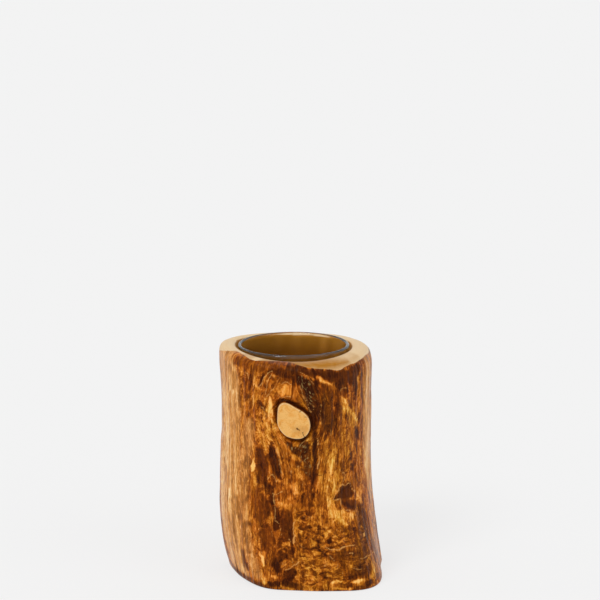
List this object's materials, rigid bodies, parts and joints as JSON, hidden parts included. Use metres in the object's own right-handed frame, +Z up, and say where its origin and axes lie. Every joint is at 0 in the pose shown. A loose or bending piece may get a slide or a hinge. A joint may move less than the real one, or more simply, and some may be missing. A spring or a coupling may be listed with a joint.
{
  "type": "vase",
  "caption": "Olive wood vase: a debarked trunk section with a sawn branch knot, bored for a lift-out glass cylinder that holds stems and water.",
  "frame": {"origin": "where the axis of the bore for the glass meets the flat base of the wood", "axes": "+Z up along the bore's axis, -Y to the front with the sawn branch knot, +X to the side that the foot kicks out to"},
  "size_m": [0.1193, 0.1168, 0.1676],
  "materials": {
    "olive_wood": "sanded and oiled, satin",
    "clear_glass": "clear, polished"
  },
  "bodies": {
    "wood": {"wood_body": "olive_wood"},
    "glass": {"glass_insert": "clear_glass"}
  },
  "joints": [
    {"name": "glass_lift", "type": "slide", "parent": "wood", "child": "glass", "axis": [0, 0, 1], "range_m": [0, 0.155]}
  ]
}
